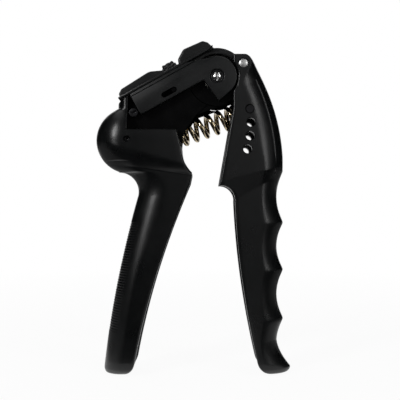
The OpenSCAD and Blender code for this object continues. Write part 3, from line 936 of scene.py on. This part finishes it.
def slide_arch():
    """Curved stop over the knuckle, joining the two cheeks."""
    tilt = math.degrees(math.atan2(SLIDE_AXIS.z, SLIDE_AXIS.x))
    low, high = 50 - tilt, 152 - tilt
    outline = arc((0, 0), ARCH_OUT, low, high, 30) + arc((0, 0), ARCH_IN, high, low, 30)
    return round_edges(prism(outline, -CHANNEL + 0.3, CHANNEL - 0.3), 0.3, 2)


class GRIP_OT_slide_body(bpy.types.Operator):
    """Slide: two cheeks with their band, slot and pivot bore, joined by webs and the stop arch"""

    bl_idname = "grip.slide_body"
    bl_label = "Slide"

    def execute(self, context):
        cheeks = mirrored(slide_cheek())
        web_top = SCREW_V - 3.0
        inner = CHEEK_IN + 0.3
        bm = fuse(
            cheeks,
            slide_box(-30.35, WHEEL_U - WHEEL_GAP, inner, 6.4, web_top),
            slide_box(WHEEL_U + WHEEL_GAP, -9.3, inner, 6.4, web_top),
            slide_box(-9.3, -4.5, inner, BAND_TOP - 2.4, BAND_TOP - 0.05),
            slide_arch(),
        )
        bm = carve(bm, guide_slot(), pivot_bore())
        finish = context.scene.grip_finishes.slide()
        add_piece(on_slide(bm), "slide_moulding", "slide", ["slide_body"], finish)
        return {"FINISHED"}


# Cover, thumbwheel and screw

COVER_HALF = CHEEK_OUT - 2.5
COVER_TOP = SCREW_V + 5.9
COVER_FOOT = BAND_TOP + 0.02
COVER_WALL = 1.6
COVER_ROUND = 1.7
FLANGE_TOP = BAND_TOP + 1.2


def rear_lobe(inset=0.0):
    """Side outline of the roof behind the thumbwheel, drawn in by an inset."""
    end = WHEEL_U - WHEEL_GAP - inset
    return rounded([
        (-44.3 + inset, COVER_FOOT, 0), (-43.8 + inset, COVER_TOP - 3.1 - inset, 1.2),
        (-41.7 + inset, COVER_TOP - 1.7 - inset, 1.5), (-26.4, COVER_TOP - 0.8 - inset, 6),
        (end, COVER_TOP - 3.4 - inset, 0.8), (end, COVER_FOOT, 0),
    ])


def front_lobe(inset=0.0):
    """Side outline of the roof in front of the thumbwheel, drawn in by an inset."""
    start = WHEEL_U + WHEEL_GAP + inset
    return rounded([
        (start, COVER_FOOT, 0), (start + 1.2, COVER_TOP - 2.3 - inset, 2.0),
        (-7.5 + inset, COVER_TOP + 0.6 - inset, 3), (2.4 - inset, COVER_TOP - 0.3 - inset, 2),
        (4.2 - inset, COVER_TOP - 2.1 - inset, 1.2), (5.5 - inset, COVER_FOOT, 0),
    ])


def is_roof_rim(edge):
    """Whether an edge runs round a side of the roof, clear of its foot."""
    first, last = (vert.co for vert in edge.verts)
    return max(first.z, last.z) >= COVER_FOOT + 0.01 and abs(first.y - last.y) < 0.01


def hollow_lobe(lobe):
    """Closed-ended roof over the screw: rounded outside, hollow and open underneath."""
    bm = prism(lobe(), -COVER_HALF, COVER_HALF)
    round_edges(bm, COVER_ROUND, 5, is_roof_rim, 20)
    room = prism(lobe(COVER_WALL), -COVER_HALF + COVER_WALL, COVER_HALF - COVER_WALL)
    for vert in room.verts:
        if vert.co.z < COVER_FOOT + 0.01:
            vert.co.z -= 2
    return carve(bm, room)


class GRIP_OT_adjuster_cover(bpy.types.Operator):
    """Cover over the adjusting screw: two rounded roofs on a flange, open at the thumbwheel"""

    bl_idname = "grip.adjuster_cover"
    bl_label = "Adjuster cover"

    def execute(self, context):
        rail = [(-44.9, COVER_FOOT), (2.2, COVER_FOOT), (5.5, FLANGE_TOP), (-44.9, FLANGE_TOP)]
        flange = round_edges(prism(rail, -CHEEK_OUT + 0.5, CHEEK_OUT - 0.5), 0.35, 2)
        well = slide_box(-43.3, 3.9, COVER_HALF - COVER_WALL, BAND_TOP - 2, BAND_TOP + 3)
        bm = fuse(carve(flange, well), hollow_lobe(rear_lobe), hollow_lobe(front_lobe))
        # Room for the screw's head and the arm's lug at both ends of the slide's travel
        screw_room = lathe([(0, -42.4), (3.1, -42.4), (3.1, 2.5), (0, 2.5)], SCREW_LINE)
        lug_room = slide_box(-40.7, -33, 4.9, BAND_TOP - 2, SCREW_V + 3.15)
        reach = ARCH_OUT + 0.3
        arch_room = lathe([(0, -8), (reach, -8), (reach, 8), (0, 8)], across_pin(Vector((0, 0, 0))))
        bm = carve(bm, screw_room, lug_room, arch_room)
        finish = context.scene.grip_finishes.slide()
        add_piece(on_slide(bm), "adjuster_cover_moulding", "slide", ["adjuster_cover"], finish)
        return {"FINISHED"}


def about_screw(u, reach, angle):
    """Point at a distance and an angle about the screw's axis."""
    return Vector((u, reach * math.sin(angle), SCREW_V + reach * math.cos(angle)))


class GRIP_OT_thumbwheel(bpy.types.Operator):
    """Thumbwheel with a diamond knurl and rounded shoulders, and the threaded screw it runs on"""

    bl_idname = "grip.thumbwheel"
    bl_label = "Thumbwheel and screw"

    def execute(self, context):
        finishes = context.scene.grip_finishes
        sizes = context.scene.grip_sizes
        self.make_wheel(sizes.knurls, finishes.wheel())
        self.make_screw(sizes.thread / MM, finishes.steel())
        return {"FINISHED"}

    def make_wheel(self, knurls, finish):
        radius, half, shoulder, bore = 6.2, 3.0, 0.9, 2.45
        knurl_depth, knurl_slant = 0.55, 1.15
        around = knurls * 8

        def ring(offset):
            drop = quarter(abs(offset) - half + shoulder, shoulder)
            slant = offset * knurl_slant
            points = []
            for i in range(around):
                angle = math.tau * i / around
                rising = 0.5 + 0.5 * math.cos(knurls * angle + slant)
                falling = 0.5 + 0.5 * math.cos(knurls * angle - slant)
                reach = radius - drop - knurl_depth * (1 - (rising * falling) ** 0.6)
                points.append(about_screw(WHEEL_U + offset, reach, angle))
            return points

        bm = loft([ring(offset) for offset in spread(-half, half, 0.15)])
        end, edge = half + 1, half - 0.6
        hub = [(0, -end), (bore + 2, -end), (bore, -edge), (bore, edge), (bore + 2, end), (0, end)]
        bm = carve(bm, lathe(hub, Matrix.Translation((WHEEL_U, 0, 0)) @ SCREW_LINE))
        add_piece(on_slide(bm), "thumbwheel_knurled", "wheel", ["thumbwheel"], finish)

    def make_screw(self, lead, finish):
        outer, depth, start, end, head = 2.4, 0.5, -31.5, 1.5, -36.9
        around = 32

        def ring(u):
            threaded = ease((u - start) / 1.0) * ease((end - u) / 1.0)
            points = []
            for i in range(around):
                angle = math.tau * i / around
                wave = abs(((u / lead - i / around) % 1) * 2 - 1)
                reach = outer - depth * threaded * clamp(1.5 * wave - 0.25) - quarter(u - end + 0.5, 0.5)
                points.append(about_screw(u, reach, angle))
            return points

        shank = [-35.3, -34.5, -33.5, -32.5]
        bm = loft([ring(u) for u in shank + spread(start, end, lead / 8)])
        head_profile = [(0, head), (2.5, head), (2.8, head + 0.3), (2.8, -35.25), (0, -35.25)]
        bm = fuse(bm, lathe(head_profile, SCREW_LINE))
        add_piece(on_slide(bm), "adjusting_screw", "palm", ["leadscrew"], finish)


# Spring

SEAT_FACE = 5.4
SPRING_GAP = 0.2
SPRING_STEPS = 44
WIRE_STEPS = 16
END_TURNS = 1.0
END_BLEND = 0.35
FIRST_LOW = 13.1


def spring_heights(wire, pitch, length):
    """Height of the wire along the spring at each step: close turns at both ends, open ones between."""
    closed = wire * 1.03
    rise = length - wire
    ends = 2 * (END_TURNS + END_BLEND / 2)
    turns = ends + (rise - closed * ends) / pitch

    def rate(t):
        inner = min(t, turns - t)
        return mix(closed, pitch, ease((inner - END_TURNS) / END_BLEND))

    rates = [rate(i / SPRING_STEPS) for i in range(round(turns * SPRING_STEPS))]
    scale = rise / sum(rates)
    heights = [wire / 2]
    for value in rates:
        heights.append(heights[-1] + value * scale)
    return heights


class GRIP_OT_spring(bpy.types.Operator):
    """Compression spring: one round wire with closed end turns"""

    bl_idname = "grip.spring"
    bl_label = "Spring"

    def execute(self, context):
        sizes = context.scene.grip_sizes
        wire, radius, pitch = sizes.wire / MM, sizes.coil / MM / 2, sizes.pitch / MM
        start = SEAT_FACE + SPRING_GAP
        length = (SET_PIN - CUP_PIN).length - 2 * start + SPRING_GAP
        heights = spring_heights(wire, pitch, length)
        lowest = min(range(len(heights)), key=lambda i: abs(start + heights[i] - FIRST_LOW))
        phase = 270 - 360 * lowest / SPRING_STEPS

        def centre(i):
            angle = math.radians(phase + 360 * i / SPRING_STEPS)
            return Vector((start + heights[i], radius * math.cos(angle), radius * math.sin(angle)))

        rings = []
        last = len(heights) - 1
        for i in range(len(heights)):
            middle = centre(i)
            ahead = (centre(min(i + 1, last)) - centre(max(i - 1, 0))).normalized()
            out = Vector((0, middle.y, middle.z)).normalized()
            side = ahead.cross(out).normalized()
            out = side.cross(ahead)
            rings.append([
                middle + wire / 2 * (math.cos(a) * out + math.sin(a) * side)
                for a in (math.tau * k / WIRE_STEPS for k in range(WIRE_STEPS))
            ])
        bm = loft(rings)
        bmesh.ops.transform(bm, matrix=SPRING, verts=bm.verts)
        piece = add_piece(
            bm, "spring_wire", "shoe", ["compression_spring"], context.scene.grip_finishes.spring(), crease=50
        )
        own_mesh(piece)
        return {"FINISHED"}


# Pins, screws and the inner pieces


def dome_pin(point, radius, half, dome, name, body, node, finish):
    """Pin through the thickness with a domed end at each side."""
    crown = (radius * radius + dome * dome) / (2 * dome)
    sweep = math.degrees(math.asin(radius / crown))
    end = arc((0, 0), crown, 90, 90 - sweep, 10)
    cap = [(x, y - crown + dome) for x, y in end]
    profile = [(x, -half - y) for x, y in cap] + [(x, half + y) for x, y in reversed(cap)]
    return add_piece(lathe(profile, across_pin(point)), name, body, [node], finish)


def plain_pin(point, radius, half, name, body, node, finish, place=None):
    """Pin through the thickness with chamfered ends."""
    chamfer = 0.12 * radius
    side, end = half - chamfer, radius - chamfer
    profile = [(0, -half), (end, -half), (radius, -side), (radius, side), (end, half), (0, half)]
    matrix = across_pin(point)
    return add_piece(lathe(profile, place @ matrix if place else matrix), name, body, [node], finish)


class GRIP_OT_pins(bpy.types.Operator):
    """Pins: the domed main pivot, the knuckle pin, the set pin, the guide pin and the small cross pins"""

    bl_idname = "grip.pins"
    bl_label = "Pins"

    def execute(self, context):
        finishes = context.scene.grip_finishes
        steel, satin = finishes.steel(), finishes.satin_steel()
        dark, inner = finishes.dark_steel(), finishes.inner()
        dome_pin(PIVOT, 2.5, CHEEK_OUT - 1.0, 1.35, "pivot_pin_domed", "slide", "pivot_pin", steel)
        dome_pin(KNUCKLE_PIN, 2.05, PLATE_OUT - 0.5, 0.5, "knuckle_pin_domed", "finger", "knuckle_pin", satin)
        plain_pin(SET_PIN, 2.0, PLATE_OUT - 0.6, "set_pin_turned", "finger", "set_pin", dark)
        plain_pin(CUP_PIN, 1.5, CHANNEL + 2.5, "cup_pin_turned", "palm", "palm_cup_pin", steel)
        guide = Vector((GUIDE[0], 0, GUIDE[1]))
        plain_pin(guide, 1.1, CHEEK_OUT - 0.6, "guide_pin_turned", "palm", "guide_pin", inner, SLIDE)
        return {"FINISHED"}


class GRIP_OT_screws(bpy.types.Operator):
    """Screws: grub screws in the bulb, slotted stop screws behind the slide and the pivot's rings"""

    bl_idname = "grip.screws"
    bl_label = "Screws"

    def execute(self, context):
        screws = (
            ("arm_grub_screws", "grub_screws_socket", "palm", 0.15),
            ("stop_screws", "stop_screws_slotted", "palm", 0.18),
            ("pivot_retainers", "retaining_rings", "slide", 0.12),
        )
        add_softened(screws, context.scene.grip_finishes.dark_steel())
        return {"FINISHED"}


class GRIP_OT_inner_pieces(bpy.types.Operator):
    """Inner pieces: the arm, the knuckle and the spring seats, and finishes for the hidden pieces"""

    bl_idname = "grip.inner_pieces"
    bl_label = "Inner pieces"

    def execute(self, context):
        finishes = context.scene.grip_finishes
        mouldings = (
            ("slide_arm", "slide_arm_moulding", "palm", 0.4),
            ("knuckle", "knuckle_moulding", "finger", 0.4),
            ("palm_spring_cup", "spring_cup_moulding", "cup", 0.35),
            ("finger_spring_shoe", "spring_shoe_moulding", "shoe", 0.35),
        )
        add_softened(mouldings, finishes.inner())
        kept = {
            "wheel_washers": finishes.dark_steel(), "pivot_bush": finishes.bronze(),
            "knuckle_washers": finishes.bearing(), "screw_cross_pin": finishes.steel(),
        }
        for node, finish in kept.items():
            mesh = frame["nodes"][node].data
            mesh.materials.clear()
            mesh.materials.append(finish)
        return {"FINISHED"}


# Studio


class GripStudio(bpy.types.PropertyGroup):
    """Camera, lamps and surroundings."""

    distance: length_property("Camera distance", "From the camera to the middle plane", 0.29)
    camera_x: length_property("Camera X", "Camera's place across", 0.00312, 5)
    camera_z: length_property("Camera Z", "Camera's height", 0.0823)
    lens: FloatProperty(name="Lens", description="Focal length", default=54.375, subtype="DISTANCE_CAMERA")
    left_power: power_property("Left softbox", "Power of the left softbox", 2.9)
    right_power: power_property("Right softbox", "Power of the right softbox", 1.4)
    fill_power: power_property("Fill", "Power of the wide fill light", 1.2)
    surround: FloatProperty(name="Surround", description="Light of the room on dull surfaces", default=0.35)


class GRIP_OT_studio(bpy.types.Operator):
    """Studio: white sweep and surroundings, dark flags, two softboxes, a fill light and the camera"""

    bl_idname = "grip.studio"
    bl_label = "Studio"

    def execute(self, context):
        studio = context.scene.grip_studio
        self.make_camera(context, studio)
        self.make_sweep()
        self.make_flags()
        left, right, front = (-0.70, -0.70, 0.40), (0.755, -0.656, 0.306), (0.34, -1.2, 0.38)
        self.make_softbox("softbox_left", left, 0.75, (0.13, 0.31), studio.left_power)
        self.make_softbox("softbox_right", right, 0.75, (0.13, 0.5), studio.right_power)
        self.make_softbox("fill", front, 1.2, (0.76, 0.8), studio.fill_power)
        self.make_world(context, studio)
        context.scene.view_settings.view_transform = "Standard"
        return {"FINISHED"}

    def make_camera(self, context, studio):
        data = bpy.data.cameras.new("camera")
        data.lens = studio.lens
        data.sensor_width = 36
        data.clip_start = 0.01
        camera = bpy.data.objects.new("camera", data)
        camera.location = (studio.camera_x, -studio.distance, studio.camera_z)
        camera.rotation_euler = (math.radians(90), 0, 0)
        context.scene.collection.objects.link(camera)
        context.scene.camera = camera

    def make_sweep(self):
        """White floor, and behind it a backdrop that curves up from it."""
        front, back, rise, high = -2.0, 0.9, 0.5, 2.2
        floor = [(front, 0.0), (back, 0.0)]
        backdrop = arc((back, rise), rise, -90, 0, 16) + [(back + rise, high)]
        for name, line, near_share in (("white_floor", floor, 0.94), ("white_backdrop", backdrop, 1.0)):
            paper = new_object(sheet([(-3, y, z - 0.0002) for y, z in line], (6, 0, 0)), name)
            paper.data.shade_smooth()
            paper.data.materials.append(self.white_paper(name, near_share))

    def white_paper(self, name, near_share):
        """White paper that shows its own white to the camera and in reflections.

        Near the grip only a share of that white is its own, so that it takes a shadow there.
        """
        finish = Finish(name)
        finish.set(Base_Color=(0.9, 0.9, 0.9, 1), Roughness=0.9, Specular_IOR_Level=0.1)
        tree = finish.tree
        glow = filled(finish.add("ShaderNodeEmission"), Strength=1.0)
        distance = finish.add("ShaderNodeVectorMath", operation="LENGTH")
        finish.link(finish.place, distance.inputs[0])
        own_light = finish.add("ShaderNodeMapRange")
        filled(own_light, From_Min=0.12, From_Max=0.45, To_Min=near_share, To_Max=1.0)
        finish.link(distance.outputs["Value"], own_light.inputs["Value"])
        blend = finish.add("ShaderNodeMixShader")
        share = finish.add("ShaderNodeMath", operation="MULTIPLY")
        finish.link(seen_directly(tree), share.inputs[0])
        finish.link(own_light.outputs["Result"], share.inputs[1])
        finish.link(share.outputs[0], blend.inputs["Fac"])
        finish.link(finish.shader.outputs[0], blend.inputs[1])
        finish.link(glow.outputs[0], blend.inputs[2])
        finish.link(blend.outputs[0], tree.nodes["Material Output"].inputs["Surface"])
        return finish.material

    def make_flags(self):
        """Dark, grey and white cards round the grip, which only reflections see."""
        wall = sheet([(x, y, 0.01) for x, y in arc((0, 0), 1.3, -240, 60, 60)], (0, 0, 1.6))
        floor_cloth = self.flat_card(-1.3, 2.6, -0.03, -1.3, 0.0005)
        canopy = self.flat_card(-0.4, 0.8, -1.3, 0.1, 1.6)
        left, right = self.flat_card(-1.28, 1.2, -0.08, 0.7), self.flat_card(0.08, 1.2, -0.03, 0.7)
        front = self.flat_card(0.015, 0.115, -0.8, -0.12)
        white = self.flat_card(-0.01, 0.045, -0.11, -0.04)
        self.hide_from_camera(joined(wall, floor_cloth, canopy), "dark_flags", self.cloth("flag_cloth", 0.02))
        self.hide_from_camera(joined(left, right, front), "grey_cloths", self.cloth("grey_cloth", 0.4))
        self.hide_from_camera(white, "white_card", self.white_paper("white_card", 1.0))

    def flat_card(self, x, width, near, far, z=0.001):
        """Level card at height z, from x across its width and from near to far."""
        return sheet([(x, near, z), (x, far, z)], (width, 0, 0))

    def cloth(self, name, tone):
        finish = Finish(name)
        finish.set(Base_Color=(tone, tone, tone, 1), Roughness=1.0, Specular_IOR_Level=0.0)
        return finish.material

    def hide_from_camera(self, bm, name, finish):
        card = new_object(bm, name)
        card.data.materials.append(finish)
        card.visible_camera = False
        card.visible_diffuse = False
        card.visible_shadow = False

    def make_softbox(self, name, direction, distance, size, power):
        """Area lamp at a distance from the grip's middle, in a direction from it and facing it."""
        direction = Vector(direction)
        data = bpy.data.lights.new(name, "AREA")
        data.shape = "RECTANGLE"
        data.size, data.size_y = size
        data.energy = power
        lamp = bpy.data.objects.new(name, data)
        middle = Vector((0, 0, 0.085))
        lamp.location = middle + direction.normalized() * distance
        lamp.rotation_euler = direction.to_track_quat("Z", "Y").to_euler()
        bpy.context.scene.collection.objects.link(lamp)

    def make_world(self, context, studio):
        world = bpy.data.worlds.new("white_room")
        world.use_nodes = True
        tree = world.node_tree
        tree.nodes.clear()
        room = filled(tree.nodes.new("ShaderNodeBackground"), Color=(1, 1, 1, 1), Strength=studio.surround)
        white = filled(tree.nodes.new("ShaderNodeBackground"), Color=(1, 1, 1, 1), Strength=1.0)
        blend = tree.nodes.new("ShaderNodeMixShader")
        out = tree.nodes.new("ShaderNodeOutputWorld")
        tree.links.new(seen_directly(tree), blend.inputs["Fac"])
        tree.links.new(room.outputs[0], blend.inputs[1])
        tree.links.new(white.outputs[0], blend.inputs[2])
        tree.links.new(blend.outputs[0], out.inputs["Surface"])
        context.scene.world = world


def seen_directly(tree):
    """1 for rays from the camera, off glossy surfaces or through clear ones, else 0."""
    path = tree.nodes.new("ShaderNodeLightPath")
    seen = path.outputs["Is Camera Ray"]
    for name in ("Is Glossy Ray", "Is Transmission Ray"):
        either = tree.nodes.new("ShaderNodeMath")
        either.operation = "MAXIMUM"
        tree.links.new(seen, either.inputs[0])
        tree.links.new(path.outputs[name], either.inputs[1])
        seen = either.outputs[0]
    return seen


# Panel and registration

PIECE_OPERATORS = (
    GRIP_OT_palm_handle,
    GRIP_OT_finger_handle,
    GRIP_OT_slide_body,
    GRIP_OT_adjuster_cover,
    GRIP_OT_thumbwheel,
    GRIP_OT_spring,
    GRIP_OT_pins,
    GRIP_OT_screws,
    GRIP_OT_inner_pieces,
    GRIP_OT_studio,
)


class GRIP_PT_pieces(bpy.types.Panel):
    """Sizes, colours and the pieces to make"""

    bl_idname = "GRIP_PT_pieces"
    bl_label = "Hand grip strengthener"
    bl_space_type = "VIEW_3D"
    bl_region_type = "UI"
    bl_category = "Grip"

    def draw(self, context):
        layout = self.layout
        for group in (context.scene.grip_sizes, context.scene.grip_finishes, context.scene.grip_studio):
            box = layout.box()
            for name in group.__annotations__:
                box.prop(group, name)
        for operator in PIECE_OPERATORS:
            layout.operator(operator.bl_idname)


GROUPS = {"grip_sizes": GripSizes, "grip_finishes": GripFinishes, "grip_studio": GripStudio}
CLASSES = (*GROUPS.values(), *PIECE_OPERATORS, GRIP_PT_pieces)


def register():
    for item in CLASSES:
        bpy.utils.register_class(item)
    for name, group in GROUPS.items():
        setattr(bpy.types.Scene, name, PointerProperty(type=group))


def unregister():
    for name in GROUPS:
        delattr(bpy.types.Scene, name)
    for item in reversed(CLASSES):
        bpy.utils.unregister_class(item)


def main():
    register()
    bpy.ops.grip.studio()
    bpy.ops.grip.palm_handle()
    bpy.ops.grip.finger_handle()
    bpy.ops.grip.slide_body()
    bpy.ops.grip.adjuster_cover()
    bpy.ops.grip.thumbwheel()
    bpy.ops.grip.spring()
    bpy.ops.grip.pins()
    bpy.ops.grip.screws()
    bpy.ops.grip.inner_pieces()


if __name__ == "__main__":
    main()
